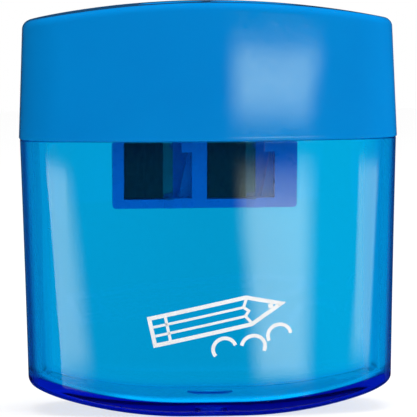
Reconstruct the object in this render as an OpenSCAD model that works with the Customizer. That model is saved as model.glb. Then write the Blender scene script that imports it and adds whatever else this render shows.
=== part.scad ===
// Two-hole pencil sharpener with a shavings container.
// A clear container, an arched cap that pulls off it, and a sharpener block with two
// bladed cones that hangs from the cap. Millimetres, +Z up, front towards -Y.
// The origin is the lowest point of the arched bottom, under the middle of the body.

/* [Body outline] */
// Half the width of the outline where the container meets the cap
half_width = 26.45; // [24:0.05:30]
// Half the depth of the outline at its middle
half_depth = 12.6; // [12:0.1:15]
// Radius of the front and rear walls, seen from above
face_r = 80; // [70:1:120]
// Radius of the two end walls, seen from above
end_r = 30; // [26:1:40]
// Radius of the four upright corners
corner_r = 8; // [7:0.1:9]

/* [Heights] */
// Overall height, from the lowest point of the bottom to the crown of the cap
height = 57; // [56:0.1:60]
// Height of the seam between container and cap
seam_z = 38; // [37:0.1:39]
// Radius of the bottom's arch, on both sides of the flat it stands on
bottom_r = 62; // [56:1:90]
// Half the length of the flat it stands on
bottom_flat = 4; // [3:0.5:8]
// Radius of the arched crown
crown_r = 130; // [115:1:150]

/* [Container] */
// Thickness of the container's floor
floor_t = 1.75; // [1.4:0.05:2.2]
// How far the container's side leans in from the seam to the floor
flare = 1; // [0.6:0.05:1.2]
// Radius of the container's lower edge
foot_r = 0.9; // [0.6:0.1:1.2]
// Height of the neck that enters the cap
neck_h = 4.2; // [3:0.1:5]

/* [Cap] */
// Thickness of the crown
crown_t = 1.7; // [1.4:0.1:2.2]
// How far the cap's side leans in from the seam to the crown
cap_lean = 0.6; // [0.3:0.05:0.8]
// Radius of the edge round the crown
crown_edge_r = 1.1; // [0.6:0.1:1.5]
// Width of the chamfer round each pencil hole
mouth_chamfer = 0.5; // [0.3:0.1:0.7]

/* [Sharpener block] */
// Radius of the hole for a standard pencil
standard_r = 4.1; // [4:0.05:4.2]
// Radius of the hole for a jumbo pencil
jumbo_r = 5.6; // [5.5:0.05:5.7]
// Where the standard hole's axis crosses the X axis
standard_x = -5; // [-5.1:0.05:-4.9]
// Where the jumbo hole's axis crosses the X axis
jumbo_x = 6.5; // [6.4:0.05:6.6]
// Angle between a cone's side and its axis
cone_angle = 12; // [11.5:0.1:12.5]
// Height of the block's lower end
block_z = 28.2; // [27.5:0.1:28.5]

/* [Blades and screws] */
// Length of a blade
blade_l = 24; // [22:0.5:24.5]
// Width of a blade, across its length
blade_w = 6.7; // [6.4:0.1:6.9]
// Thickness of a blade
blade_t = 0.9; // [0.7:0.05:1]
// Width of the ground bevel along the cutting edge
bevel_w = 1.4; // [1:0.1:1.6]
// Radius of a screw's head
head_r = 2.05; // [1.8:0.05:2.1]

/* [Hidden] */
$fn = 64;

// Colours
clear_blue = [0.05, 0.62, 0.86, 0.45];
cap_blue = [0.0, 0.50, 0.82];
block_blue = [0.0, 0.42, 0.78];
steel = [0.62, 0.64, 0.67];
screw_steel = [0.78, 0.78, 0.76];

// Steps along each quarter of the outline: end wall, corner, face
end_steps = 2;
corner_steps = 6;
face_steps = 9;

// Walls and fits
seam_gap = 0.06;
lip_r = 0.18;
seam_step = 0.14;
neck_inset = 1.15;
neck_bead = 0.1;
mouth_inset = 1.75;
floor_inset = 2.7;
floor_edge_r = 1.2;
cap_wall = 0.8;
cap_wall_top = 0.95;
ceiling_edge_r = 1;

// The sharpener block
tip_r = 0.7;
edge_bite = 0.12;
tip_z = block_z + 0.8;
block_wall = 1.1;
block_left = -13.4;
block_right = 12.2;
block_corner_r = 0.5;
pocket_depth = 1.25;
web_back = 1.2;
shoulder_z = 51.1;
shoulder_half = 15;
shoulder_depth = 7.6;
block_gap = 0.05;
slot_narrow = 1.2;
slot_wide = 2.6;
slot_step_z = 36.1;
slot_up = 0.6;

// The cap's two snap arms and two locating fences
arm_gap = 0.15;
arm_t = 1.2;
arm_w = 8;
barb = 0.8;
barb_h = 1.4;
fence_t = 0.9;
fence_h = 3.2;
fence_w = 12;

// Blades and screws
blade_start = 1.65;
edge_t = 0.12;
screw_from_edge = 4.75;
screw_up = 12.2;
head_h = 1.15;
shank_r = 1.2;
shank_l = 4.6;
shank_gap = 0.04;
drive_w = 0.55;
drive_depth = 0.6;

// The moulding mark in the middle of the floor
gate_r = 3.2;
gate_rise = 0.35;
gate_dimple_r = 2.4;
gate_nub_r = 0.75;

// --- Body outline -------------------------------------------------------------------

// Centres of the rear face's arc and the right end's arc
face_c = [0, half_depth - face_r];
end_c = [half_width - end_r, 0];

// Where two circles meet, on the left of the line from the first centre to the second
function circles_meet(c1, r1, c2, r2) =
    let (d = c2 - c1, l = norm(d), t = (l * l + r1 * r1 - r2 * r2) / (2 * l),
         h = sqrt(r1 * r1 - t * t), u = d / l)
    c1 + t * u + h * [-u.y, u.x];

corner_c = circles_meet(end_c, end_r - corner_r, face_c, face_r - corner_r);
end_angle = atan2(corner_c.y - end_c.y, corner_c.x - end_c.x);
face_angle = atan2(corner_c.y - face_c.y, corner_c.x - face_c.x);

// One spoke of the outline: [centre, radius, angle]. A point is the centre plus the
// radius, less the inset, along the angle, so every inset is a true parallel outline.
function arc_spokes(c, r, from, to, steps) =
    [for (i = [0:steps - 1]) [c, r, from + (to - from) * i / steps]];

quarter = concat(
    arc_spokes(end_c, end_r, 0, end_angle, end_steps),
    arc_spokes(corner_c, corner_r, end_angle, face_angle, corner_steps),
    arc_spokes(face_c, face_r, face_angle, 90, face_steps));
quarter_n = len(quarter);
top_spoke = [[face_c, face_r, 90]];

function mirror_x(s) = [[-s[0].x, s[0].y], s[1], 180 - s[2]];
function mirror_y(s) = [[s[0].x, -s[0].y], s[1], -s[2]];

half_loop = concat(quarter, top_spoke,
    [for (i = [quarter_n - 1:-1:0]) mirror_x(quarter[i])]);
half_n = len(half_loop) - 1;
spokes = concat(half_loop, [for (i = [half_n - 1:-1:1]) mirror_y(half_loop[i])]);
ring_n = len(spokes);

// An arch is [radius, half its flat middle]
bottom = [bottom_r, bottom_flat];
floor_top = [bottom_r - floor_t, bottom_flat];
crown = [crown_r, 0];
ceiling = [crown_r - crown_t, 0];

// How far an arch has dropped at x
function sag(arch, x) =
    let (reach = max(abs(x) - arch[1], 0)) arch[0] - sqrt(arch[0] * arch[0] - reach * reach);

// One level of a shell: [inset, height, share of the arch's drop, arch]
function ring(level) =
    [for (s = spokes)
        let (p = s[0] + (s[1] - level[0]) * [cos(s[2]), sin(s[2])])
        [p.x, p.y, level[1] + level[2] * sag(level[3], p.x)]];

// A closed shell through a list of levels. Both ends are closed across the depth,
// because the arches are straight from front to rear.
module shell(levels) {
    n = ring_n;
    last = (len(levels) - 1) * n;
    points = [for (l = levels) each ring(l)];
    sides = [for (k = [0:len(levels) - 2]) for (i = [0:n - 1])
        let (j = (i + 1) % n, a = k * n, b = (k + 1) * n)
        each [[a + i, b + j, a + j], [a + i, b + i, b + j]]];
    start_face = [for (i = [0:half_n - 1])
        let (p = (n - i) % n, q = n - i - 1)
        each (i == 0 ? [[0, 1, q]]
            : i == half_n - 1 ? [[i, i + 1, p]]
            : [[i, i + 1, q], [i, q, p]])];
    end_face = [for (i = [0:half_n - 1])
        let (p = (n - i) % n, q = n - i - 1)
        each (i == 0 ? [[last, last + q, last + 1]]
            : i == half_n - 1 ? [[last + i, last + p, last + i + 1]]
            : [[last + i, last + q, last + i + 1], [last + i, last + p, last + q]])];
    polyhedron(points = points, faces = concat(start_face, sides, end_face), convexity = 8);
}

// --- Container ----------------------------------------------------------------------

// Inset of the outer wall at share t of the way from the floor to the seam
function wall_inset(t) = flare * (1 - 0.7 * t - 0.25 * t * t) + (seam_step - 0.05 * flare) * t * t;
function inner_inset(t) = floor_inset + (mouth_inset - floor_inset) * t;

// Levels round an edge from angle a to b. The edge's centre is inset by c and at height h.
function edge_levels(c, h, r, a, b, steps, share, arch) =
    [for (i = [0:steps])
        let (w = a + (b - a) * i / steps)
        [c - r * cos(w), h + r * sin(w), share, arch]];

function wall_levels(list) =
    [for (t = list) [wall_inset(t), seam_z * t, 1 - t, bottom]];
function inner_levels(list) =
    [for (t = list) [inner_inset(t), floor_t + (seam_z - floor_t) * t, 1 - t, floor_top]];

neck_z = seam_z + neck_h;
container_levels = concat(
    edge_levels(wall_inset(0.03) + foot_r, foot_r, foot_r, -90, 0, 4, 1, bottom),
    wall_levels([0.16, 0.32, 0.48, 0.64, 0.8, 0.93]),
    edge_levels(seam_step + lip_r, seam_z - lip_r, lip_r, 0, 90, 2, 0, bottom),
    [[neck_inset, seam_z, 0, bottom],
     [neck_inset, seam_z + 0.5 * neck_h, 0, bottom],
     [neck_inset - neck_bead, seam_z + 0.64 * neck_h, 0, bottom],
     [neck_inset, seam_z + 0.78 * neck_h, 0, bottom],
     [neck_inset, neck_z - 0.25, 0, bottom],
     [neck_inset + 0.2, neck_z, 0, bottom],
     [mouth_inset - 0.15, neck_z, 0, bottom],
     [mouth_inset, neck_z - 0.2, 0, bottom]],
    inner_levels([0.99, 0.66, 0.33, 0.1]),
    edge_levels(inner_inset(0) + floor_edge_r, floor_t + floor_edge_r, floor_edge_r,
        0, -90, 3, 1, floor_top));

module container() {
    color(clear_blue)
    difference() {
        union() {
            shell(container_levels);
            translate([0, 0, floor_t / 2]) cylinder(r = gate_r, h = floor_t / 2 + gate_rise);
        }
        difference() {
            translate([0, 0, -1]) cylinder(r = gate_dimple_r, h = 1.6);
            translate([0, 0, 0.25]) cylinder(r = gate_nub_r, h = 1);
        }
    }
}

// --- Cap ----------------------------------------------------------------------------

cap_z = seam_z + seam_gap;
// Height at which the cap's side meets its crown edge, for the outside and the inside
edge_z = height - crown_edge_r;
ceiling_z = height - crown_t;

cap_levels = concat(
    edge_levels(cap_lean + cap_wall_top + ceiling_edge_r, ceiling_z - ceiling_edge_r,
        ceiling_edge_r, 90, 0, 3, -1, ceiling),
    [[cap_wall + 0.25 * (cap_lean + cap_wall_top - cap_wall),
        cap_z + 0.25 * (edge_z - cap_z), 0, crown],
     [cap_wall, cap_z + 0.15, 0, crown],
     [cap_wall - 0.12, cap_z, 0, crown],
     [lip_r, cap_z, 0, crown],
     [lip_r / 3, cap_z + lip_r / 3, 0, crown],
     [0, cap_z + lip_r, 0, crown],
     [cap_lean / 3, cap_z + (edge_z - cap_z) / 3, -1 / 3, crown],
     [cap_lean * 2 / 3, cap_z + (edge_z - cap_z) * 2 / 3, -2 / 3, crown]],
    edge_levels(cap_lean + crown_edge_r, edge_z, crown_edge_r, 0, 90, 4, -1, crown));

// A pencil hole through the crown, with a chamfer square to the arch where it stands
module pencil_hole(x, r) {
    translate([x, 0, shoulder_z]) cylinder(r = r, h = 10);
    translate([x, 0, height - sag(crown, x)])
        rotate([0, asin(x / crown_r), 0])
            translate([0, 0, -mouth_chamfer])
                cylinder(r1 = r - 0.02, r2 = r + 2 * mouth_chamfer, h = 2 * mouth_chamfer);
}

// A springy arm beside the block, with a barb that holds the block's shoulder up
module snap_arm(side) {
    inner = shoulder_half + arm_gap;
    top = height - crown_t / 2 - sag(crown, inner + arm_t);
    low = shoulder_z - barb_h - 0.3;
    mirror([side < 0 ? 1 : 0, 0, 0])
        translate([0, arm_w / 2, 0]) rotate([90, 0, 0]) linear_extrude(arm_w)
            polygon([[inner, top], [inner, shoulder_z], [inner - barb, shoulder_z],
                [inner - barb, shoulder_z - 0.3], [inner, low], [inner + arm_t, low],
                [inner + arm_t, top]]);
}

// A low wall under the crown that keeps the block from sliding forwards or back
module fence(side) {
    y = side * (shoulder_depth + arm_gap + fence_t / 2);
    translate([-fence_w / 2, y - fence_t / 2, ceiling_z - fence_h])
        cube([fence_w, fence_t, fence_h + crown_t / 3]);
}

module cap() {
    color(cap_blue)
    difference() {
        union() {
            shell(cap_levels);
            for (side = [-1, 1]) {
                snap_arm(side);
                fence(side);
            }
        }
        pencil_hole(standard_x, standard_r);
        pencil_hole(jumbo_x, jumbo_r);
    }
}

// --- Sharpener block ----------------------------------------------------------------

// Distance from the axes to the blades' seat at height z. The seat runs along the front
// of both cones and lies just inside them, so that the edges bite into a pencil.
function seat_at(z) = tip_r - edge_bite + (z - tip_z) * tan(cone_angle);
function cone_top(r) = tip_z + (r - tip_r) / tan(cone_angle);
block_top = ceiling_z - block_gap;

// The space that a pencil needs: its cone, then its bore up through the top
module pencil_space(x, r) {
    translate([x, 0, 0]) rotate_extrude()
        polygon([[0, block_z - 1], [tip_r, block_z - 1], [tip_r, tip_z], [r, cone_top(r)],
            [r, height + 5], [0, height + 5]]);
}

// The tube round a pencil's space
module pencil_tube(x, r) {
    reach = tip_r + block_wall + 0.3;
    translate([x, 0, 0]) rotate_extrude()
        polygon([[0, block_z], [reach, block_z], [r + block_wall, cone_top(r) + 0.5],
            [r + block_wall, height + 2], [0, height + 2]]);
}

// The block's outline from the front, extruded from front to rear
module block_outline() {
    r = block_corner_r;
    translate([0, 20, 0]) rotate([90, 0, 0]) linear_extrude(40) union() {
        translate([block_left, block_z + r]) square([block_right - block_left, 60]);
        translate([block_left + r, block_z]) square([block_right - block_left - 2 * r, 60]);
        for (x = [block_left + r, block_right - r]) translate([x, block_z + r]) circle(r);
    }
}

// The sloping slab at the front that carries the blades, seen from the side and extruded
module blade_slab() {
    low_y = -seat_at(block_z) - pocket_depth;
    high_y = -seat_at(height) - pocket_depth;
    translate([block_left, 0, 0]) rotate([90, 0, 90])
        linear_extrude(block_right - block_left)
            polygon([[web_back, block_z], [low_y, block_z], [high_y, height], [web_back, height]]);
}

// Puts its children on the blades' seat: +X across, +Y up the slope, +Z out of the seat
module on_seat(x) {
    translate([x, -seat_at(block_z), block_z])
        rotate([90 + cone_angle, 0, 0]) children();
}

// The recess that a blade lies in, its screw hole and the slot for the shavings
module blade_recess(x, r) {
    slot_z = tip_z + slot_up;
    on_seat(x) {
        translate([-blade_w - 0.12, blade_start - 0.12, 0])
            cube([blade_w + 0.12, blade_l + 0.24, pocket_depth + 3]);
        translate([-screw_from_edge, blade_start + screw_up, -shank_l - 0.2])
            cylinder(r = shank_r + shank_gap, h = shank_l + 1);
    }
    translate([x, -15, slot_z]) cube([slot_narrow, 15, cone_top(r) + 0.4 - slot_z]);
    translate([x, -15, slot_z]) cube([slot_wide, 15, slot_step_z - slot_z]);
}

module shoulder() {
    r = 1.5;
    w = shoulder_half;
    d = shoulder_depth;
    translate([0, 0, shoulder_z]) linear_extrude(10) union() {
        square([2 * w, 2 * (d - r)], center = true);
        square([2 * (w - r), 2 * d], center = true);
        for (sx = [-1, 1], sy = [-1, 1])
            translate([sx * (w - r), sy * (d - r)]) circle(r);
    }
}

module sharpener_block() {
    color(block_blue)
    difference() {
        intersection() {
            union() {
                intersection() {
                    blade_slab();
                    block_outline();
                }
                pencil_tube(standard_x, standard_r);
                pencil_tube(jumbo_x, jumbo_r);
                shoulder();
            }
            // The top follows the underside of the crown
            translate([0, 20, block_top - (crown_r - crown_t - block_gap)])
                rotate([90, 0, 0]) cylinder(r = crown_r - crown_t - block_gap, h = 40, $fn = 256);
        }
        pencil_space(standard_x, standard_r);
        pencil_space(jumbo_x, jumbo_r);
        blade_recess(standard_x, standard_r);
        blade_recess(jumbo_x, jumbo_r);
    }
}

// --- Blades and screws --------------------------------------------------------------

module blade(x) {
    color(steel)
    on_seat(x)
        difference() {
            translate([0, blade_start + blade_l, 0]) rotate([90, 0, 0]) linear_extrude(blade_l)
                polygon([[-blade_w, 0], [0, 0], [0, edge_t], [-bevel_w, blade_t], [-blade_w, blade_t]]);
            translate([-screw_from_edge, blade_start + screw_up, -1])
                cylinder(r = shank_r + 0.1, h = 3);
        }
}

module screw(x) {
    dome_r = (head_r * head_r + head_h * head_h) / (2 * head_h);
    color(screw_steel)
    on_seat(x) translate([-screw_from_edge, blade_start + screw_up, 0])
        difference() {
            union() {
                translate([0, 0, -shank_l]) cylinder(r = shank_r, h = shank_l + blade_t + 0.2);
                intersection() {
                    translate([0, 0, blade_t + head_h - dome_r]) sphere(r = dome_r);
                    translate([0, 0, blade_t]) cylinder(r = head_r, h = head_h + 1);
                }
            }
            translate([-drive_w / 2, -5, blade_t + head_h - drive_depth]) cube([drive_w, 10, 2]);
        }
}

module standard_blade() { blade(standard_x); }
module jumbo_blade() { blade(jumbo_x); }
module standard_screw() { screw(standard_x); }
module jumbo_screw() { screw(jumbo_x); }

container();
cap();
sharpener_block();
standard_blade();
jumbo_blade();
standard_screw();
jumbo_screw();
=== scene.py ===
# %% [markdown]
# # A container pencil sharpener
#
# The object is a hand-held pencil sharpener: an opaque arched cap pulls off a clear
# container, and a block with two bladed cones hangs from the cap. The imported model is
# loaded first as a fixed frame. Each piece below is set against it, in metres.

# %% Load the frame
import math

import bmesh
import bpy
import numpy as np
from mathutils import Matrix, Vector


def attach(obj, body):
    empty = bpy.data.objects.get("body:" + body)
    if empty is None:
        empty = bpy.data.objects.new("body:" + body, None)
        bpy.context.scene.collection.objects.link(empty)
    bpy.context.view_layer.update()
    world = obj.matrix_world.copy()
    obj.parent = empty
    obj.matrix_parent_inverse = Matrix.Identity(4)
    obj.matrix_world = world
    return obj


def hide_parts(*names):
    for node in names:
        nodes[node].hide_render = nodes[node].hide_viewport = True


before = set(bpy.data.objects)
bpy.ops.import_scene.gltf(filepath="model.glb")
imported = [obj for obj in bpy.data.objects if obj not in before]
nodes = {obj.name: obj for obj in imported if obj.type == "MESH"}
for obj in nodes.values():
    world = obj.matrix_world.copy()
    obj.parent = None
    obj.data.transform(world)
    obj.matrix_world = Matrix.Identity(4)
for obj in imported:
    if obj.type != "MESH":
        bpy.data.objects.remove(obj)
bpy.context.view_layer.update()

scene = bpy.context.scene

# %% [markdown]
# ## The outline that both shells share
#
# Seen from above, cap and container have one outline: two long shallow arcs, two almost
# flat ends and four rounded corners. Every wall, edge and fillet is a parallel copy of it.
# It is kept as spokes. A spoke has the centre of its arc, a radius and an angle, so an
# inset only shortens the radius, and the arcs stay tangent at any inset. Scaling one
# outline would be shorter, but it would make the wall thin at the ends.

# %% The outline as spokes
MM = 0.001
HALF_WIDTH, HALF_DEPTH = 26.45, 12.6
FACE_R, END_R, CORNER_R = 80.0, 30.0, 8.0
END_STEPS, CORNER_STEPS, FACE_STEPS = 8, 16, 40


def arc_meeting(c1, r1, c2, r2):
    """Point at r1 from c1 and r2 from c2, on the left of the line between the centres."""
    gap = np.hypot(*(c2 - c1))
    along = (gap * gap + r1 * r1 - r2 * r2) / (2 * gap)
    u = (c2 - c1) / gap
    return c1 + along * u + math.sqrt(r1 * r1 - along * along) * np.array([-u[1], u[0]])


def quarter_spokes():
    """Rows of centre x, centre y, radius and angle, from the right end (0) to the rear (90 degrees)."""
    face = np.array([0.0, HALF_DEPTH - FACE_R])
    end = np.array([HALF_WIDTH - END_R, 0.0])
    corner = arc_meeting(end, END_R - CORNER_R, face, FACE_R - CORNER_R)
    a = math.atan2(corner[1] - end[1], corner[0] - end[0])
    b = math.atan2(corner[1] - face[1], corner[0] - face[0])
    spans = [(end, END_R, 0.0, a, END_STEPS), (corner, CORNER_R, a, b, CORNER_STEPS),
             (face, FACE_R, b, math.pi / 2, FACE_STEPS)]
    rows = [np.column_stack([np.tile(c, (n, 1)), np.full(n, r), np.linspace(f, t, n, endpoint=False)])
            for c, r, f, t, n in spans]
    return np.vstack(rows + [[*face, FACE_R, math.pi / 2]])


def all_spokes():
    """The quarter mirrored across X, then that half mirrored across Y: one closed loop."""
    q = quarter_spokes()
    left = q[-2::-1] * [-1, 1, 1, -1] + [0, 0, 0, math.pi]
    half = np.vstack([q, left])
    front = half[-2:0:-1] * [1, -1, 1, -1]
    return np.vstack([half, front])


SPOKES = all_spokes()
RING = len(SPOKES)
print("spokes in a ring", RING)

# %% [markdown]
# ## Shells as stacks of rings
#
# A moulded shell is one skin that runs down the outside, over the rim and back up the
# inside. Here it is a stack of rings. Each ring is the outline at an inset and a height,
# bent by a share of an arch, because the bottom and the crown are arched from left to
# right. Neighbouring rings are joined by quads. The arch is a true circle, so reflections
# run over it without a kink.

# %% Rings and skins
def sag(arch, x):
    """Drop of an arch (radius, half its flat middle) at x.

    It is r minus the root of r squared less the square of the reach beyond the flat."""
    r, flat = arch
    reach = np.maximum(np.abs(x) - flat, 0)
    return r - np.sqrt(r * r - reach * reach)


def ring(inset, height, share, arch):
    """Outline at that inset; z is the height plus the share of the arch's drop at each x."""
    reach = SPOKES[:, 2] - inset
    x = SPOKES[:, 0] + reach * np.cos(SPOKES[:, 3])
    y = SPOKES[:, 1] + reach * np.sin(SPOKES[:, 3])
    return np.column_stack([x, y, height + share * sag(arch, x)])


def edge(inset, height, r, start, stop, steps, share, arch):
    """Levels round a rounded edge: the inset falls by r cos and the height rises by r sin of the angle."""
    w = np.radians(np.linspace(start, stop, steps + 1))
    return [(inset - r * math.cos(k), height + r * math.sin(k), share, arch) for k in w]


def disc_rings(rim, radii, steps, surface):
    """Rings that run from a rim into a circle and on through smaller ones; surface(x, radius) gives z.

    Between rim and circle each point slides along a straight line: (1 - t) rim + t circle."""
    turn = np.arctan2(rim[:, 1], rim[:, 0])
    circle = np.column_stack([np.cos(turn), np.sin(turn)])
    out = []
    for t in np.linspace(0, 1, steps + 1)[1:]:
        p = (1 - t) * rim[:, :2] + t * radii[0] * circle
        out.append(np.column_stack([p, surface(p[:, 0], np.hypot(p[:, 0], p[:, 1]))]))
    for r in radii[1:]:
        p = r * circle
        out.append(np.column_stack([p, surface(p[:, 0], np.full(len(p), r))]))
    return out


def strip_faces(first, second, closed=True):
    """Quads between two rows of vertex indices of one length."""
    a, b = np.asarray(first), np.asarray(second)
    if closed:
        return np.column_stack([a, np.roll(a, -1), np.roll(b, -1), b])
    return np.column_stack([a[:-1], a[1:], b[1:], b[:-1]])


def stack_faces(rows, n, offset=0):
    """Quads of a whole stack of closed rings with n points each."""
    k, i = np.meshgrid(np.arange(rows - 1), np.arange(n), indexing="ij")
    j = (i + 1) % n
    q = np.stack([k * n + i, k * n + j, (k + 1) * n + j, (k + 1) * n + i], axis=-1)
    return q.reshape(-1, 4) + offset


def joined(solids):
    """Several solids as one list of points and faces."""
    points, faces, count = [], [], 0
    for p, f in solids:
        points.append(p)
        faces += [[int(i) + count for i in face] for face in f]
        count += len(p)
    return np.vstack(points), faces


def piece(name, points, faces, material, body, slot, sharp=30.0):
    """A mesh object from points in millimetres and faces, smooth but for edges sharper than that angle."""
    mesh = bpy.data.meshes.new(name)
    mesh.from_pydata((np.asarray(points) * MM).tolist(), [], [list(map(int, f)) for f in faces])
    bm = bmesh.new()
    bm.from_mesh(mesh)
    bmesh.ops.remove_doubles(bm, verts=bm.verts, dist=1e-7)
    bmesh.ops.recalc_face_normals(bm, faces=bm.faces)
    open_edges = sum(not e.is_manifold for e in bm.edges)
    bm.to_mesh(mesh)
    bm.free()
    mesh.shade_smooth()
    mesh.set_sharp_from_angle(angle=math.radians(sharp))
    mesh.materials.append(material)
    obj = bpy.data.objects.new(name, mesh)
    scene.collection.objects.link(obj)
    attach(obj, body)
    print(name, len(mesh.vertices), "points", len(mesh.polygons), "faces", open_edges, "open edges")
    return obj


# %% [markdown]
# ## Materials
#
# All three plastics are moulded and polished, so they differ by colour and clarity. The
# clear one is a glass-like surface round a volume that absorbs light: red goes in the
# first half millimetre, green in a few, and blue hardly at all. That is why a thin wall
# looks cyan and an edge seen along its length looks navy. A tinted surface would give one
# even cyan everywhere. The opaque plastics get their colour from the surface. A slow
# unevenness in the bump is the flow of the moulding, and bends the edges of reflections.
#
# The clear plastic isn't polished everywhere. Its underside and foot are matt, as a base
# that slides on desks is, and so is the inside of its two narrow ends. A polished edge
# there would hold its light by total reflection and turn black. A little roughness lets
# the light out, so the edges glow blue.

# %% Helpers for materials
def new_material(name):
    """An empty node material with its output, and its node tree."""
    m = bpy.data.materials.new(name)
    m.use_nodes = True
    t = m.node_tree
    t.nodes.clear()
    out = t.nodes.new("ShaderNodeOutputMaterial")
    return m, t, out


def add(tree, kind, inputs=None, **settings):
    """A node with its settings, and values or links for its inputs."""
    n = tree.nodes.new(kind)
    for k, v in settings.items():
        setattr(n, k, v)
    for k, v in (inputs or {}).items():
        if isinstance(v, bpy.types.NodeSocket):
            tree.links.new(v, n.inputs[k])
        else:
            n.inputs[k].default_value = v
    return n


def calc(tree, operation, a, b):
    """The result of one operation on two numbers."""
    return add(tree, "ShaderNodeMath", {0: a, 1: b}, operation=operation).outputs["Value"]


def ramp(tree, value, start, stop, low, high):
    """A number that goes from low to high while the value goes from start to stop, and no further."""
    span = add(tree, "ShaderNodeMapRange", {
        "Value": value, "From Min": start, "From Max": stop, "To Min": low, "To Max": high})
    return span.outputs["Result"]


def at_most_one(tree, depth):
    """Nought for a ray that has not bounced yet, and one for any other."""
    return calc(tree, "MINIMUM", depth, 1.0)


def place_of(tree):
    """The three Object coordinates, in metres."""
    place = add(tree, "ShaderNodeTexCoord").outputs["Object"]
    return add(tree, "ShaderNodeSeparateXYZ", {0: place}).outputs


def ripple(tree, scale, detail=2.0, stretch=(1, 1, 1)):
    """Noise over Object coordinates, as waves of 1/scale metres."""
    place = add(tree, "ShaderNodeTexCoord").outputs["Object"]
    spread = add(tree, "ShaderNodeMapping", {"Vector": place, "Scale": stretch})
    noise = add(tree, "ShaderNodeTexNoise", {
        "Vector": spread.outputs["Vector"], "Scale": scale, "Detail": detail})
    return noise.outputs["Fac"]


def between(tree, noise, low, high):
    """A number from low to high that follows a noise. Noise seldom leaves the span 0.3 to 0.7."""
    return ramp(tree, noise, 0.3, 0.7, low, high)


def bump(tree, height, strength, depth, under=None):
    """A bump from a height, its depth in metres, laid over another bump if there is one."""
    inputs = {"Height": height, "Strength": strength, "Distance": depth}
    if under:
        inputs["Normal"] = under
    return add(tree, "ShaderNodeBump", inputs).outputs["Normal"]


FLOW_DEPTH, GRAIN_DEPTH = 0.00012, 0.000002


def moulded_bump(tree):
    """The moulding's slow flow waves and the fine grain of its polish, as one bump."""
    flow = bump(tree, ripple(tree, 90, 1.0), 0.12, FLOW_DEPTH)
    return bump(tree, ripple(tree, 2600, 3.0), 0.25, GRAIN_DEPTH, flow)


def show(material, tree, out, skin):
    """The material, with that skin as its surface."""
    tree.links.new(skin.outputs[0], out.inputs["Surface"])
    return material


# %% The clear plastic
PLASTIC_IOR = 1.5
CLEAR_TINT = (0.0, 0.893, 0.985, 1.0)
CLEAR_DENSITY = 2330.0
CLEAR_POLISH = (0.015, 0.05)
UNDERSIDE_ROUGH, FOOT_ROUGH, END_ROUGH = 0.45, 0.25, 0.3
UNDERSIDE_FADE, FOOT_FADE = (0.12, 0.3), (0.7, 0.95)
END_X, END_Y = (22.8, 24.95), 6.2
BOTTOM = (62.0, 4.0)


def matt_zones(tree):
    """Roughness of the underside, the foot and the inside of the ends; nought elsewhere.

    The height over the arched bottom is z less the square of the reach beyond the arch's
    flat middle, over twice its radius."""
    do = lambda operation, a, b: calc(tree, operation, a, b)
    fall = lambda value, span, rough: ramp(tree, value, span[0] * MM, span[1] * MM, rough, 0.0)
    radius, flat = BOTTOM
    place = place_of(tree)
    x, y = (do("ABSOLUTE", place[k], 0.0) for k in "XY")
    reach = do("MAXIMUM", do("SUBTRACT", x, flat * MM), 0.0)
    above = do("SUBTRACT", place["Z"], do("DIVIDE", do("MULTIPLY", reach, reach), 2 * radius * MM))
    base = do("MAXIMUM", fall(above, UNDERSIDE_FADE, UNDERSIDE_ROUGH), fall(above, FOOT_FADE, FOOT_ROUGH))
    wall = do("MULTIPLY", do("GREATER_THAN", x, END_X[0] * MM), do("LESS_THAN", x, END_X[1] * MM))
    ends = do("MULTIPLY", wall, do("LESS_THAN", y, END_Y * MM))
    return do("MAXIMUM", base, do("MULTIPLY", ends, END_ROUGH))


def clear_plastic():
    """Dyed clear plastic: a polished refracting surface with matt zones, round a volume that absorbs."""
    m, t, out = new_material("clear_plastic")
    polish = between(t, ripple(t, 700, 4.0), *CLEAR_POLISH)
    skin = add(t, "ShaderNodeBsdfPrincipled", {
        "Base Color": (1, 1, 1, 1), "Roughness": calc(t, "MAXIMUM", polish, matt_zones(t)),
        "IOR": PLASTIC_IOR, "Transmission Weight": 1.0, "Normal": moulded_bump(t)})
    dye = add(t, "ShaderNodeVolumeAbsorption", {"Color": CLEAR_TINT, "Density": CLEAR_DENSITY})
    t.links.new(dye.outputs[0], out.inputs["Volume"])
    return show(m, t, out, skin)


# %% The opaque plastics
def opaque_plastic(name, deep, fresh, low, high):
    """Opaque gloss plastic: two close blues in slow clouds, and a polish from low to high roughness."""
    m, t, out = new_material(name)
    clouds = between(t, ripple(t, 60, 3.0), 0.0, 1.0)
    blend = add(t, "ShaderNodeMix", {"Factor": clouds, "A": deep, "B": fresh}, data_type="RGBA")
    skin = add(t, "ShaderNodeBsdfPrincipled", {
        "Base Color": blend.outputs["Result"], "Roughness": between(t, ripple(t, 900, 4.0), low, high),
        "IOR": PLASTIC_IOR, "Normal": moulded_bump(t)})
    return show(m, t, out, skin)


# %% [markdown]
# ## Steel
#
# A blade is rolled strip steel, ground along its edge, so its fine lines run along its
# length, and light spreads across them. Noise that is stretched along the blade gives the
# lines, and anisotropy spreads the light.

# %% The steels
def steel(name, colour, roughness, lines):
    """Metal whose roughness and bump follow noise stretched along Z."""
    m, t, out = new_material(name)
    grind = ripple(t, 6000, 3.0, (lines, 1, 0.03))
    skin = add(t, "ShaderNodeBsdfPrincipled", {
        "Base Color": colour, "Metallic": 1.0, "Anisotropic": 0.4,
        "Roughness": between(t, grind, roughness * 0.8, roughness * 1.25),
        "Normal": bump(t, grind, 0.25, GRAIN_DEPTH)})
    return show(m, t, out, skin)


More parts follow.
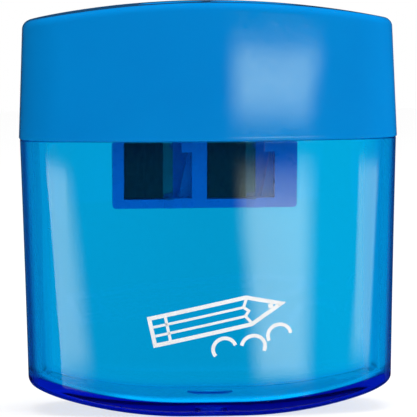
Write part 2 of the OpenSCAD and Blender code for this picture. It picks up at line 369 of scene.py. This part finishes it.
CLEAR = clear_plastic()
CAP_BLUE = opaque_plastic("cap_plastic", (0.0, 0.206, 0.59, 1), (0.0, 0.226, 0.62, 1), 0.05, 0.08)
# The block's blues are painted a little lighter and greener than the cap's, as painted light for the light
# that the block loses behind the clear wall.
BLOCK_BLUE_PAINTED_LIGHTER = opaque_plastic("block_plastic", (0.0, 0.235, 0.61, 1), (0.0, 0.255, 0.64, 1), 0.25, 0.34)
BLADE = steel("blade_steel", (0.56, 0.57, 0.58, 1), 0.2, 1.0)
SCREW = steel("screw_steel", (0.70, 0.70, 0.69, 1), 0.22, 0.4)

# %% [markdown]
# ## The container
#
# The container is one moulding: an arched floor, a wall that leans in towards the floor, a
# flat shoulder on which the cap rests, and a neck with a snap bead. The middle of the
# floor has the gate mark where plastic entered the mould: a dimple with a nub below, and
# a raised disc above. The rings start round the dimple, run out under the floor, up the
# wall, over the neck, and down the inside to the disc.

# %% The container's rings
SEAM_Z, FLOOR_T = 38.0, 1.75
FLOOR = (BOTTOM[0] - FLOOR_T, BOTTOM[1])
FLARE, FOOT_R, NECK_H, NECK_INSET, NECK_BEAD = 1.0, 0.9, 4.2, 1.15, 0.1
SEAM_STEP, LIP_R, MOUTH_INSET, FLOOR_INSET, INNER_R = 0.14, 0.18, 1.75, 2.7, 1.2
NECK_RIM_R, MOUTH_RIM_R, NECK_FOOT = 0.2, 0.15, 0.4
BEAD_FROM, BEAD_SPAN, BEAD_RINGS = 0.45, 0.4, 9
DIMPLE_R, DIMPLE_H, NUB_R, NUB_H = 2.35, 0.6, 0.75, 0.35
DISC_R, DISC_H, EASE = 3.15, 0.35, 0.025
# Rings stand close to each fillet, to keep its rounding out of the wall's shading.
WALL_SHARES = [*np.linspace(0.05, 0.985, 26), 0.992]
INSIDE_SHARES = [*np.linspace(1.0, 0.06, 22), 0.036]
DIMPLE_RINGS = [2.6, 2.45, 2.4, 2.35, 2.3, 2.2, 1.5, 0.9, 0.8, 0.75, 0.7, 0.6, 0.3]
DISC_RINGS = [3.4, 3.25, 3.2, 3.15, 3.1, 3.0, 2.0, 1.0]
SPREAD_STEPS = 14


def wall_inset(t):
    """Inset of the outer wall: the flare fades in a straight and a squared part, to the seam's step."""
    return FLARE * (1 - 0.7 * t - 0.25 * t * t) + (SEAM_STEP - 0.05 * FLARE) * t * t


def inner_inset(t):
    """Inset of the inner wall: straight from the floor to the mouth."""
    return FLOOR_INSET + (MOUTH_INSET - FLOOR_INSET) * t


def within(r, edge_r):
    """One inside that radius and nought outside it, with a quick smooth step between.

    It is one over 1 + e to the power of the distance outside the radius, over EASE."""
    return 1 / (1 + np.exp(np.clip((r - edge_r) / EASE, -50, 50)))


def underside(x, r):
    """The arched bottom, with a dimple and a nub hanging in it."""
    dimple = within(r, DIMPLE_R)
    return sag(BOTTOM, x) * (1 - dimple) + DIMPLE_H * dimple - NUB_H * within(r, NUB_R)


def floor_top(x, r):
    """The arched floor, with a flat raised disc."""
    disc = within(r, DISC_R)
    return (FLOOR_T + sag(FLOOR, x)) * (1 - disc) + (FLOOR_T + DISC_H) * disc


def container_levels():
    """Levels from the foot up the wall, over the neck and down the inside.

    t is the share of the wall's height. The bead on the neck swells by a squared sine."""
    neck_z = SEAM_Z + NECK_H
    wall = [(wall_inset(t), SEAM_Z * t, 1 - t, BOTTOM) for t in WALL_SHARES]
    bead = [(NECK_INSET - NECK_BEAD * math.sin(math.pi * k) ** 2,
             SEAM_Z + NECK_H * (BEAD_FROM + BEAD_SPAN * k), 0, BOTTOM)
            for k in np.linspace(0, 1, BEAD_RINGS)]
    inside = [(inner_inset(t), FLOOR_T + (SEAM_Z - FLOOR_T) * t, 1 - t, FLOOR) for t in INSIDE_SHARES]
    return (edge(wall_inset(0.03) + FOOT_R, FOOT_R, FOOT_R, -90, 0, 10, 1, BOTTOM) + wall
            + edge(wall_inset(1 - LIP_R / SEAM_Z) + LIP_R, SEAM_Z - LIP_R, LIP_R, 0, 90, 4, 0, BOTTOM)
            + [(NECK_INSET, SEAM_Z, 0, BOTTOM), (NECK_INSET, SEAM_Z + NECK_FOOT, 0, BOTTOM)] + bead
            + edge(NECK_INSET + NECK_RIM_R, neck_z - NECK_RIM_R, NECK_RIM_R, 0, 90, 3, 0, BOTTOM)
            + edge(MOUTH_INSET - MOUTH_RIM_R, neck_z - MOUTH_RIM_R, MOUTH_RIM_R, 90, 180, 3, 0, BOTTOM)
            + inside
            + edge(inner_inset(0) + INNER_R, FLOOR_T + INNER_R, INNER_R, 0, -90, 8, 1, FLOOR))


def container_piece():
    """The container as one closed skin, from the nub below to the disc above."""
    body = [ring(*level) for level in container_levels()]
    below = disc_rings(body[0], DIMPLE_RINGS, SPREAD_STEPS, underside)
    above = disc_rings(body[-1], DISC_RINGS, SPREAD_STEPS, floor_top)
    rings = below[::-1] + body + above
    hubs = [[0, 0, DIMPLE_H - NUB_H], [0, 0, FLOOR_T + DISC_H]]
    points = np.vstack(rings + [hubs])
    n = len(rings)
    first, last = np.arange(RING), (n - 1) * RING + np.arange(RING)
    fan = lambda row, hub: np.column_stack([row, np.roll(row, -1), np.full(RING, hub)])
    faces = [*stack_faces(n, RING), *fan(first, n * RING), *fan(last, n * RING + 1)]
    return piece("container_shell", points, faces, CLEAR, "container", "clear_plastic")


container_shell = container_piece()
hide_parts("container")

# %% [markdown]
# ## The print on the front
#
# Low on the front is a one-colour pad print. It is a plain picture of a pencil with three
# shavings, and says nothing. Pad-printed ink is a film of a few hundredths of a
# millimetre that follows the wall, so every stroke is a thin slab bent onto the skin, just
# proud of it. A picture drawn into the material would have no edge, and would be lost
# where the shader is replaced.

# %% The pencil print
PRINT_X, PRINT_Z, INK_GAP, INK_T = 0.0, 13.6, 0.004, 0.03
PRINT_TURN, INK_STEP = 12, 0.35


def front_y(x, z):
    """Front of the outer wall at x and z: the face arc, shortened by the wall's inset at that height.

    The arch's drop depends on the share of the height, so the share is found in four rounds."""
    t = z / SEAM_Z
    for _ in range(4):
        t = (z - (1 - t) * sag(BOTTOM, x)) / SEAM_Z
    r = FACE_R - wall_inset(t)
    return (FACE_R - HALF_DEPTH) - np.sqrt(r * r - x * x)


def stroke(path, width, closed=False):
    """The two sides of a band along a path in the print's own plane.

    Each point moves half the width along the mean of its two normals. At a bend the step
    grows by one over the cosine of half the bend, so the width stays even."""
    p = np.asarray(path, float)
    step = np.roll(p, -1, axis=0) - p
    if not closed:
        step[-1] = step[-2]
    step /= np.linalg.norm(step, axis=1)[:, None]
    back = np.roll(step, 1, axis=0)
    if not closed:
        back[0] = step[0]
    mean = step + back
    mean /= np.linalg.norm(mean, axis=1)[:, None]
    reach = width / 2 / np.maximum((mean * step).sum(axis=1), 0.3)
    side = np.column_stack([-mean[:, 1], mean[:, 0]]) * reach[:, None]
    return p + side, p - side


def finely(path, closed=False):
    """The same path with a point at least every INK_STEP millimetres, so it can bend with the wall."""
    p = np.asarray(path, float)
    ends = np.vstack([p, p[:1]]) if closed else p
    out = []
    for a, b in zip(ends[:-1], ends[1:]):
        count = max(2, int(np.hypot(*(b - a)) / INK_STEP) + 1)
        out.append(np.linspace(a, b, count, endpoint=False))
    return np.vstack(out if closed else out + [ends[-1:]])


def ink(path, width, closed=False):
    """A stroke as a closed slab of ink: four rows of points, two near the wall and two proud of it."""
    left, right = stroke(finely(path, closed), width, closed)
    rows = []
    for edge_line, lift in ((left, INK_GAP), (left, INK_T), (right, INK_T), (right, INK_GAP)):
        x, z = edge_line[:, 0] + PRINT_X, edge_line[:, 1] + PRINT_Z
        rows.append(np.column_stack([x, front_y(x, z) - lift, z]))
    n = len(left)
    row = np.arange(n)
    faces = [f for k in range(4) for f in strip_faces(k * n + row, (k + 1) % 4 * n + row, closed)]
    if not closed:
        faces += [[0, n, 2 * n, 3 * n], [n - 1, 4 * n - 1, 3 * n - 1, 2 * n - 1]]
    return np.vstack(rows), faces


def turned(points, degrees):
    """The points turned to the left about the print's origin."""
    across, up = math.cos(math.radians(degrees)), math.sin(math.radians(degrees))
    return np.asarray(points) @ np.array([[across, up], [-up, across]])


def curl(x, z, r, start, stop):
    """A shaving: an arc about x and z whose radius across grows with the angle."""
    w = np.radians(np.linspace(start, stop, 15))
    return np.column_stack([x + r * (1 + 0.25 * (w - w[0]) / 6) * np.cos(w), z + r * np.sin(w)])


PENCIL = [
    ([(-8.6, -1.9), (5.0, -1.9), (9.6, 0.0), (5.0, 1.9), (-8.6, 1.9)], 0.55, True),
    ([(5.0, -1.65), (4.4, -0.63), (5.0, 0.0), (4.4, 0.63), (5.0, 1.65)], 0.4, False),
    ([(-8.3, -0.63), (4.3, -0.63)], 0.35, False),
    ([(-8.3, 0.63), (4.3, 0.63)], 0.35, False),
    ([(-6.4, -1.65), (-6.4, 1.65)], 0.4, False),
    ([(8.1, -0.3), (8.1, 0.3)], 0.7, False)]
SHAVINGS = [(1.6, -4.2, 20), (5.6, -3.9, -25), (9.2, -2.4, 10)]
SHAVING_R, SHAVING_ARC, SHAVING_WIDTH = 1.5, 200, 0.5
strokes = [ink(turned(path, PRINT_TURN), width, closed) for path, width, closed in PENCIL]
strokes += [ink(curl(x, z, SHAVING_R, a, a + SHAVING_ARC), SHAVING_WIDTH) for x, z, a in SHAVINGS]


def pad_ink():
    """White printing ink: matt, slightly mottled where the pad lifted."""
    m, t, out = new_material("print_ink")
    mottle = between(t, ripple(t, 2500, 3.0), 0.42, 0.6)
    tone = between(t, ripple(t, 900, 2.0), 0.86, 0.93)
    colour = add(t, "ShaderNodeCombineColor", {"Red": tone, "Green": tone, "Blue": tone})
    skin = add(t, "ShaderNodeBsdfPrincipled", {
        "Base Color": colour.outputs["Color"], "Roughness": mottle, "IOR": 1.45})
    return show(m, t, out, skin)


piece("front_print", *joined(strokes), pad_ink(), "container", None, sharp=40.0)

# %% [markdown]
# ## The cap
#
# The cap is an opaque shell whose crown is arched like the bottom. Two pencil holes go
# through the crown, each with a small chamfer. A boolean cut would leave slivers that
# spoil the gloss, so the crown is laid out as two patches that meet on the line x = 0,
# between the holes. In each patch the points slide from the patch's rim to the hole's
# circle, and go on down the wall of the hole to the ceiling.

# %% The cap's rings
HEIGHT, CROWN_T, CAP_LEAN, CROWN_EDGE_R = 57.0, 1.7, 0.6, 1.1
CROWN, CEILING, CEILING_R = (130.0, 0.0), (128.3, 0.0), 1.0
CAP_Z, CAP_WALL, CAP_WALL_TOP = SEAM_Z + 0.06, 0.8, 0.95
EDGE_Z, CEILING_Z = HEIGHT - CROWN_EDGE_R, HEIGHT - CROWN_T
HOLES = [(-5.0, 4.1), (6.5, 5.6)]
CHAMFER = 0.5
SIDE_SHARES = [0.013, 0.03, *np.linspace(0.06, 0.97, 16), 0.985, 0.997]
BEND, LIP_UP, LIP_IN = 0.25, 0.15, 0.12
PATCH_ACROSS, PATCH_STEPS, PATCH_CROWDING = 44, 12, 0.8


def cap_levels():
    """Levels from the ceiling down the inside, round the lip, up the side and over the crown's edge.

    The inside bends at the share BEND of the side's height: straight below it, leaning above."""
    rise = EDGE_Z - CAP_Z
    side = [(CAP_LEAN * t, CAP_Z + rise * t, -t, CROWN) for t in SIDE_SHARES]
    inner = [(CAP_WALL + BEND * (CAP_LEAN + CAP_WALL_TOP - CAP_WALL), CAP_Z + BEND * rise, 0, CROWN),
             (CAP_WALL, CAP_Z + LIP_UP, 0, CROWN), (CAP_WALL - LIP_IN, CAP_Z, 0, CROWN)]
    deep = CAP_LEAN + CAP_WALL_TOP + CEILING_R
    return (edge(deep, CEILING_Z - CEILING_R, CEILING_R, 90, 0, 6, -1, CEILING)
            + inner + edge(LIP_R, CAP_Z + LIP_R, LIP_R, -90, 0, 4, 0, CROWN) + side
            + edge(CAP_LEAN + CROWN_EDGE_R, EDGE_Z, CROWN_EDGE_R, 0, 90, 10, -1, CROWN))


def half_rim(rim, side, across):
    """One side's half of a closed rim, with the line x = 0 from one end of it to the other."""
    q = END_STEPS + CORNER_STEPS + FACE_STEPS
    right = np.vstack([rim[3 * q:], rim[:q + 1]])
    left = rim[q:3 * q + 1]
    half = left if side < 0 else right
    y = half[-1, 1] + (half[0, 1] - half[-1, 1]) * np.linspace(0, 1, across + 2)[1:-1]
    return np.vstack([half[:, :2], np.column_stack([np.zeros(across), y])])


def hole_patch(rim, side, x0, r, height, arch, chamfer):
    """Rings from half of the rim to the hole's circle, on the arch, and down its chamfer if it has one."""
    outer = half_rim(rim, side, PATCH_ACROSS)
    turn = np.arctan2(outer[:, 1], outer[:, 0] - x0)
    circle = np.column_stack([np.cos(turn), np.sin(turn)])
    top = lambda p: np.column_stack([p, height - sag(arch, p[:, 0])])
    mouth = [x0, 0] + (r + chamfer) * circle
    rings = [top((1 - t) * outer + t * mouth) for t in np.linspace(0, 1, PATCH_STEPS) ** PATCH_CROWDING]
    if chamfer:
        wall = top([x0, 0] + r * circle)
        rings += [wall - [0, 0, chamfer]]
    return rings


def cap_shell():
    """The cap as one closed skin, with its two holes."""
    body = [ring(*level) for level in cap_levels()]
    points, faces, count = [np.vstack(body)], list(stack_faces(len(body), RING)), len(body) * RING
    for side, (x0, r) in zip((-1, 1), HOLES):
        crown = hole_patch(body[-1], side, x0, r, HEIGHT, CROWN, CHAMFER)
        ceiling = hole_patch(body[0], side, x0, r, CEILING_Z, CEILING, 0)
        rows = crown + ceiling[::-1]
        points.append(np.vstack(rows))
        faces += list(stack_faces(len(rows), len(rows[0]), count))
        count += len(rows) * len(rows[0])
    return piece("cap_shell", np.vstack(points), faces, CAP_BLUE, "cap", "cap_plastic")


cap = cap_shell()

# %% [markdown]
# ## Inside the cap
#
# Two springy arms hang from the crown and hold the block's shoulder on their barbs, and
# two low fences keep it from sliding. They are extruded outlines with softened edges, so
# a Bevel modifier finishes them.

# %% Arms and fences
SHOULDER_Z, SHOULDER_HALF, SHOULDER_DEPTH = 51.1, 15.0, 7.6
CLEARANCE, ARM_T, ARM_HALF, ARM_DROP = 0.15, 1.2, 4, 1.7
BARB, BARB_T = 0.8, 0.3
FENCE_T, FENCE_HALF, FENCE_DROP, ROOT = 0.9, 6, 3.2, 0.5
SOFT_EDGE = 0.12


def extruded(outline, low, high, axis):
    """Closed prism: the outline at the low and at the high place along an axis, joined by quads."""
    o = np.asarray(outline, float)
    n = len(o)
    ends = [np.insert(o, axis, value, axis=1) for value in (low, high)]
    row = np.arange(n)
    faces = [list(range(n)), list(range(2 * n - 1, n - 1, -1)), *strip_faces(row, n + row)]
    return np.vstack(ends), faces


def cap_inside():
    """Two arms with barbs under the shoulder, and two fences; all are rooted in the crown."""
    inner, low = SHOULDER_HALF + CLEARANCE, SHOULDER_Z - ARM_DROP
    outer, tip, under = inner + ARM_T, inner - BARB, SHOULDER_Z - BARB_T
    top = HEIGHT - CROWN_T / 2 - float(sag(CROWN, outer))
    arm = np.array([[inner, top], [inner, SHOULDER_Z], [tip, SHOULDER_Z], [tip, under],
                    [inner, low], [outer, low], [outer, top]])
    arms = [extruded(arm * [side, 1], -ARM_HALF, ARM_HALF, 1) for side in (-1, 1)]
    near = SHOULDER_DEPTH + CLEARANCE
    foot, root = CEILING_Z - FENCE_DROP, CEILING_Z + ROOT
    fence = lambda a, b: extruded([[a, foot], [b, foot], [b, root], [a, root]], -FENCE_HALF, FENCE_HALF, 0)
    return joined(arms + [fence(near, near + FENCE_T), fence(-near - FENCE_T, -near)])


cap_arms = piece("cap_arms", *cap_inside(), CAP_BLUE, "cap", "cap_plastic")
soften = cap_arms.modifiers.new("softened edges", "BEVEL")
soften.width, soften.segments, soften.limit_method = SOFT_EDGE * MM, 2, "ANGLE"
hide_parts("cap")

# %% [markdown]
# ## The block, its blades and its screws
#
# These keep the frame's own exact solids, because their cones, seats and slots are
# already true, and get their finishes. They are not bevelled, since a bevel leaves dots
# on the fine facets of the cones.

# %% Finishes for the block and the steel
def finish(node, material):
    """That material on a node of the frame, in place of any other."""
    obj = nodes[node]
    obj.data.materials.clear()
    obj.data.materials.append(material)
    print(node, "finished in", material.name)


finish("sharpener_block", BLOCK_BLUE_PAINTED_LIGHTER)
for kind in ("standard", "jumbo"):
    finish(kind + "_blade", BLADE)
    finish(kind + "_screw", SCREW)

# %% [markdown]
# ## Floor, backdrop and light
#
# The sharpener stands on a white floor in a white surround. Both are white to the camera
# by their own colour, and the floor keeps the object's soft shadow. Clear plastic shows
# what is behind it, so rays that pass straight through have levels of their own: a
# little darker on the left than on the right, and dim in front for rays that were
# mirrored inside. The floor's level also has a faint tint, a touch greener than white
# and less blue on the right. The strip of floor under the foot's front edge glows
# brighter as a painted highlight, which the rounded foot gathers its light from. Matt
# surfaces behind the clear wall get their light raised by INSIDE, because the dye takes
# from it on the way in and again on the way out. From below the floor is open, so the
# underside can be looked at.
#
# Gloss shows what is in front. Gloss rays miss the floor and meet curved cards of light,
# and each card runs down the face or round a corner as an upright band with soft edges.
# Cards show in reflections only, so they light nothing. They are off behind clear
# plastic, where each would show a second time. One low card is there for the steel.

# %% The floor's material
INSIDE = 2.25


def mixed(tree, factor, first, second):
    """A shader that goes from the first to the second with the factor."""
    return add(tree, "ShaderNodeMixShader", {0: factor, 1: first, 2: second}).outputs["Shader"]


def glow(tree, strength, colour=(1, 1, 1, 1)):
    """A surface that gives light of that strength and colour."""
    return add(tree, "ShaderNodeEmission", {"Color": colour, "Strength": strength}).outputs["Emission"]


def paint(tree, grey):
    """A matt surface that returns that share of the light."""
    return add(tree, "ShaderNodeBsdfDiffuse", {"Color": (grey, grey, grey, 1)}).outputs["BSDF"]


def unless(tree, a, b):
    """a less b, and never below nought: a ray of kind a that is not of kind b."""
    return add(tree, "ShaderNodeMath", {0: a, 1: b}, operation="SUBTRACT", use_clamp=True).outputs["Value"]


def floor_through(tree, rays):
    """The floor as it is seen straight through the plastic.

    Its level is a left part plus a right part, times one plus the bright strip of painted
    highlight, times one less the dark front for mirrored rays. Distances are in metres."""
    do = lambda operation, a, b: calc(tree, operation, a, b)
    place = place_of(tree)
    x, y = place["X"], place["Y"]
    right = do("ADD", do("MULTIPLY", y, -0.05), x)
    left_part = ramp(tree, right, -0.030, -0.002, 0.84, 0.785)
    across = do("ADD", left_part, ramp(tree, right, 0.004, 0.020, 0.0, 0.215))
    mirrored = at_most_one(tree, rays["Glossy Depth"])
    front = do("MULTIPLY", ramp(tree, y, -0.040, -0.018, 0.98, 0.0), mirrored)
    # The strip is a painted highlight: the floor's glow is raised under the foot's front edge.
    strip = do("MULTIPLY", ramp(tree, y, -0.020, -0.015, 0.0, 0.8), ramp(tree, y, -0.006, -0.003, 1.0, 0.0))
    strip = do("MULTIPLY", strip, ramp(tree, do("ABSOLUTE", x, 0.0), 0.012, 0.016, 1.0, 0.0))
    level = do("MULTIPLY", do("MULTIPLY", do("SUBTRACT", 1.0, front), do("ADD", strip, 1.0)), across)
    blue = ramp(tree, right, 0.004, 0.020, 1.0, 0.95)
    tint = add(tree, "ShaderNodeCombineColor", {"Red": 1.0, "Green": 1.035, "Blue": blue})
    return glow(tree, level, tint.outputs["Color"])


def floor_white():
    """White with a soft shadow to the camera, open to gloss and from below."""
    m, t, out = new_material("floor_white")
    rays = add(t, "ShaderNodeLightPath").outputs
    white = add(t, "ShaderNodeAddShader", {0: paint(t, 0.3), 1: glow(t, 0.71)}).outputs["Shader"]
    seen = mixed(t, rays["Is Camera Ray"], paint(t, 0.8), white)
    straight = unless(t, rays["Is Transmission Ray"], rays["Diffuse Depth"])
    matt_inside = unless(t, rays["Is Transmission Ray"], straight)
    lit = mixed(t, matt_inside, seen, glow(t, 0.8 * INSIDE))
    both = mixed(t, straight, lit, floor_through(t, rays))
    gloss = unless(t, rays["Is Glossy Ray"], rays["Is Transmission Ray"])
    nothing = add(t, "ShaderNodeBsdfTransparent").outputs["BSDF"]
    above = mixed(t, gloss, both, nothing)
    one_sided = mixed(t, add(t, "ShaderNodeNewGeometry").outputs["Backfacing"], above, nothing)
    t.links.new(one_sided, out.inputs["Surface"])
    return m


# %% The floor
FLOOR_R, FLOOR_Z, FLOOR_CORNERS = 900.0, -0.03, 48


def white_floor():
    """A wide flat disc just below the underside."""
    turn = np.linspace(0, 2 * math.pi, FLOOR_CORNERS, endpoint=False)
    rim = np.column_stack([FLOOR_R * np.cos(turn), FLOOR_R * np.sin(turn), np.full(FLOOR_CORNERS, FLOOR_Z)])
    mesh = bpy.data.meshes.new("floor")
    mesh.from_pydata((rim * MM).tolist(), [], [list(range(FLOOR_CORNERS))])
    mesh.materials.append(floor_white())
    obj = bpy.data.objects.new("floor", mesh)
    scene.collection.objects.link(obj)
    print("floor", 2 * FLOOR_R, "mm across")


white_floor()

# %% The world
MATT_LEVELS, GLOSS_LEVEL = (0.1, 1.6), 0.012
THROUGH_LEVELS, FRONT_LEVEL = (0.76, 1.0), 0.035


def surround():
    """White to the camera and behind the plastic, dim in front of it, and a plain light for matt surfaces.

    MATT_LEVELS and THROUGH_LEVELS run from left to right."""
    world = bpy.data.worlds.new("surround")
    scene.world = world
    world.use_nodes = True
    t = world.node_tree
    t.nodes.clear()
    rays = add(t, "ShaderNodeLightPath").outputs
    way = add(t, "ShaderNodeSeparateXYZ", {0: add(t, "ShaderNodeTexCoord").outputs["Generated"]}).outputs
    mix = lambda factor, a, b: add(t, "ShaderNodeMix", {"Factor": factor, "A": a, "B": b})
    choose = lambda factor, a, b: mix(factor, a, b).outputs["Result"]
    behind = ramp(t, way["X"], 0.0, 0.1, *THROUGH_LEVELS)
    mirrored = at_most_one(t, rays["Glossy Depth"])
    in_front = calc(t, "MULTIPLY", ramp(t, way["Y"], -0.8, -0.6, 1.0, 0.0), mirrored)
    passing = choose(in_front, behind, FRONT_LEVEL)
    matt = ramp(t, way["X"], -1.0, 1.0, *MATT_LEVELS)
    plain = choose(rays["Is Glossy Ray"], matt, GLOSS_LEVEL)
    straight = choose(rays["Is Transmission Ray"], plain, passing)
    raised = calc(t, "MULTIPLY", matt, ramp(t, rays["Transmission Depth"], 0.0, 1.0, 1.0, INSIDE))
    lit = choose(at_most_one(t, rays["Diffuse Depth"]), straight, raised)
    level = choose(rays["Is Camera Ray"], lit, 1.0)
    sky = add(t, "ShaderNodeBackground", {"Color": (1, 1, 1, 1), "Strength": level})
    add(t, "ShaderNodeOutputWorld", {"Surface": sky.outputs["Background"]})
    print("world", world.name)


surround()

# %% The softboxes
CARD_DISTANCE, CARD_GRID = 500, 81


def card_material(name, colour):
    """Light from the card's own strength attribute, and open air behind clear plastic."""
    m, t, out = new_material(name)
    strength = add(t, "ShaderNodeAttribute", attribute_name="strength").outputs["Fac"]
    air = add(t, "ShaderNodeBsdfTransparent").outputs["BSDF"]
    lit = add(t, "ShaderNodeAddShader", {0: glow(t, strength, (*colour, 1)), 1: air}).outputs["Shader"]
    depth = add(t, "ShaderNodeLightPath").outputs["Transmission Depth"]
    t.links.new(mixed(t, at_most_one(t, depth), lit, air), out.inputs["Surface"])
    m.cycles.emission_sampling = "NONE"
    return m


def light_card(name, left, right, low, high, radiance, colour, soft):
    """A curved card of light that only reflections see.

    left and right are its edges as bearings (degrees right of the front) at its foot and at
    its head. low is the height of its foot in millimetres, and high the heights of its
    head at the left and at the right edge. Its strength falls to nothing towards each
    edge, over the degrees (left, right) and millimetres (foot, head) in soft: a smooth
    ramp 3t squared less 2t cubed at each, multiplied together."""
    n = CARD_GRID
    v, u = (g.ravel() for g in np.meshgrid(np.linspace(0, 1, n), np.linspace(0, 1, n), indexing="ij"))
    start, stop = (e[0] + (e[1] - e[0]) * v for e in (left, right))
    head = high[0] + (high[1] - high[0]) * u
    bearing, height = start + (stop - start) * u, low + (head - low) * v
    turn = np.radians(bearing)
    points = np.column_stack([CARD_DISTANCE * np.sin(turn), -CARD_DISTANCE * np.cos(turn), height])
    fade = np.ones_like(u)
    for way, reach in zip((bearing - start, stop - bearing, height - low, head - height), soft):
        k = np.clip(way / reach, 0, 1)
        fade *= k * k * (3 - 2 * k)
    k, i = np.meshgrid(np.arange(n - 1), np.arange(n - 1), indexing="ij")
    q = (k * n + i).ravel()
    mesh = bpy.data.meshes.new(name)
    mesh.from_pydata((points * MM).tolist(), [], np.column_stack([q, q + 1, q + n + 1, q + n]).tolist())
    strength = mesh.attributes.new("strength", "FLOAT", "POINT")
    strength.data.foreach_set("value", (radiance * fade).astype(np.float32))
    mesh.materials.append(card_material(name, colour))
    obj = bpy.data.objects.new(name, mesh)
    obj.visible_camera = obj.visible_diffuse = obj.visible_transmission = obj.visible_shadow = False
    scene.collection.objects.link(obj)
    print(name, "radiance", radiance)


ON_CAP, ON_CLEAR, NEUTRAL = (0.77, 1.0, 0.67), (0.9, 1.0, 0.72), (1, 1, 1)
CARDS = [
    ("cap_card", (5.0, 5.0), (26.5, 30.7), 49.1, (70.1, 70.1), 5.7, ON_CAP, (6.3, 5.6, 4.8, 2.6)),
    ("middle_card", (10.5, 5.9), (26.9, 27.7), -74.2, (-17.6, -17.6), 5.0, ON_CLEAR, (5.4, 5.4, 6, 15.4)),
    ("corner_card", (22.1, 22.1), (27.5, 27.5), -31.0, (-17.0, -17.0), 1.5, ON_CLEAR, (0.5, 5.4, 5.5, 3)),
    ("left_card", (-40.2, -71.5), (-22.8, -27.8), -74.7, (-12.9, -19.3), 4.2, ON_CLEAR, (1, 5.5, 11, 5.6)),
    ("right_card", (33.3, 37.6), (65.0, 87.6), -69.5, (-17.7, -12.0), 3.0, ON_CLEAR, (2.5, 9, 10, 4.7)),
    ("low_card", (-50, -50), (50, 50), -430, (-130, -130), 0.5, NEUTRAL, (30, 30, 60, 90))]
for card in CARDS:
    light_card(*card)

# %% The lamp above
LAMP_SIZE, LAMP_POWER, LAMP_PLACE = (0.5, 0.4), 2.2, (0, -0.05, 0.55)
top_lamp = bpy.data.lights.new("top_box", "AREA")
top_lamp.shape, top_lamp.energy = "RECTANGLE", LAMP_POWER
top_lamp.size, top_lamp.size_y = LAMP_SIZE
top_box = bpy.data.objects.new("top_box", top_lamp)
top_box.location = LAMP_PLACE
top_box.visible_glossy = False
scene.collection.objects.link(top_box)
print("lamp", top_box.name, LAMP_POWER, "W")

# %% [markdown]
# ## The camera
#
# A long lens stands a little above the crown and looks down by about four degrees. It
# stands three degrees to the left of the front, so the two ends aren't quite alike.

# %% The camera
SENSOR, NEAR_CLIP, FAR_CLIP = 36.0, 0.01, 20


def camera(bearing, distance, height, aim, lens, roll):
    """A camera at a bearing (degrees right of the front), a distance and a height, aimed at a point."""
    lens_data = bpy.data.cameras.new("camera")
    lens_data.lens, lens_data.sensor_width = lens, SENSOR
    lens_data.clip_start, lens_data.clip_end = NEAR_CLIP, FAR_CLIP
    obj = bpy.data.objects.new("camera", lens_data)
    b = math.radians(bearing)
    place = Vector((distance * math.sin(b) + aim[0], -distance * math.cos(b), height)) * MM
    look = (Vector(aim) * MM - place).to_track_quat("-Z", "Y").to_matrix().to_4x4()
    obj.matrix_world = Matrix.Translation(place) @ look @ Matrix.Rotation(math.radians(roll), 4, "Z")
    scene.collection.objects.link(obj)
    scene.camera = obj
    print("camera", [round(v, 4) for v in place])


camera(-2.8, 522, 66.15, (0.02, 0, 27.95), 322, -0.42)
scene.view_settings.view_transform = "Standard"
scene.cycles.max_bounces, scene.cycles.glossy_bounces, scene.cycles.transmission_bounces = 32, 24, 32
